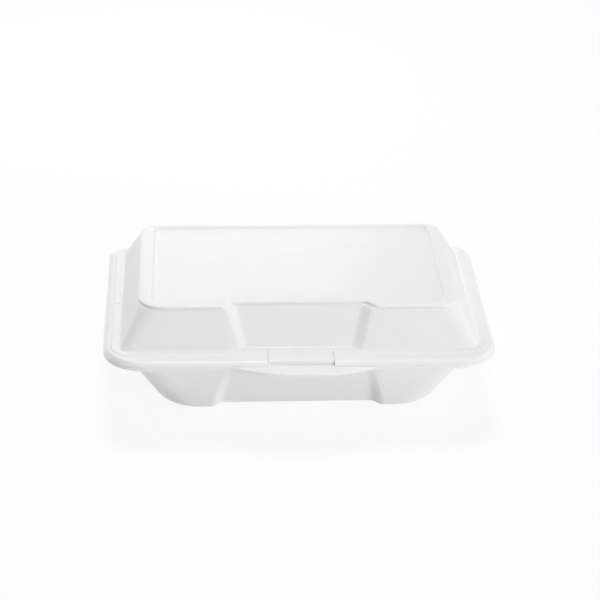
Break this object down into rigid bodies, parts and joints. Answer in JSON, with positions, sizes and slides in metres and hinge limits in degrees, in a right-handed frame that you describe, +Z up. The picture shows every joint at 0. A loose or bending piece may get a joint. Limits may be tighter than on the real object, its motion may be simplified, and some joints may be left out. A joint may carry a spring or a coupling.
{
  "type": "hinged foam food container",
  "caption": "White foam clamshell lunch box: deep tray with a set-back front, shallow hinged lid, and a tongue that tucks into a slot in the front lip.",
  "frame": {"origin": "on the table, under the middle of the closed box's outer size, front lip included", "axes": "+X along the long side to the right seen from the front, +Y from the front lip to the fold at the back, +Z up"},
  "size_m": [0.24, 0.1639, 0.07],
  "materials": {
    "white_foam": "white expanded polystyrene sheet, soft satin skin with a faint bead texture"
  },
  "bodies": {
    "tray": {"base_tray": "white_foam"},
    "lid": {"lid": "white_foam"}
  },
  "joints": [
    {"name": "lid_hinge", "type": "hinge", "parent": "tray", "child": "lid", "pos_m": [0, 0.08125, 0.048], "axis": [-1, 0, 0], "range_deg": [0, 180]}
  ]
}
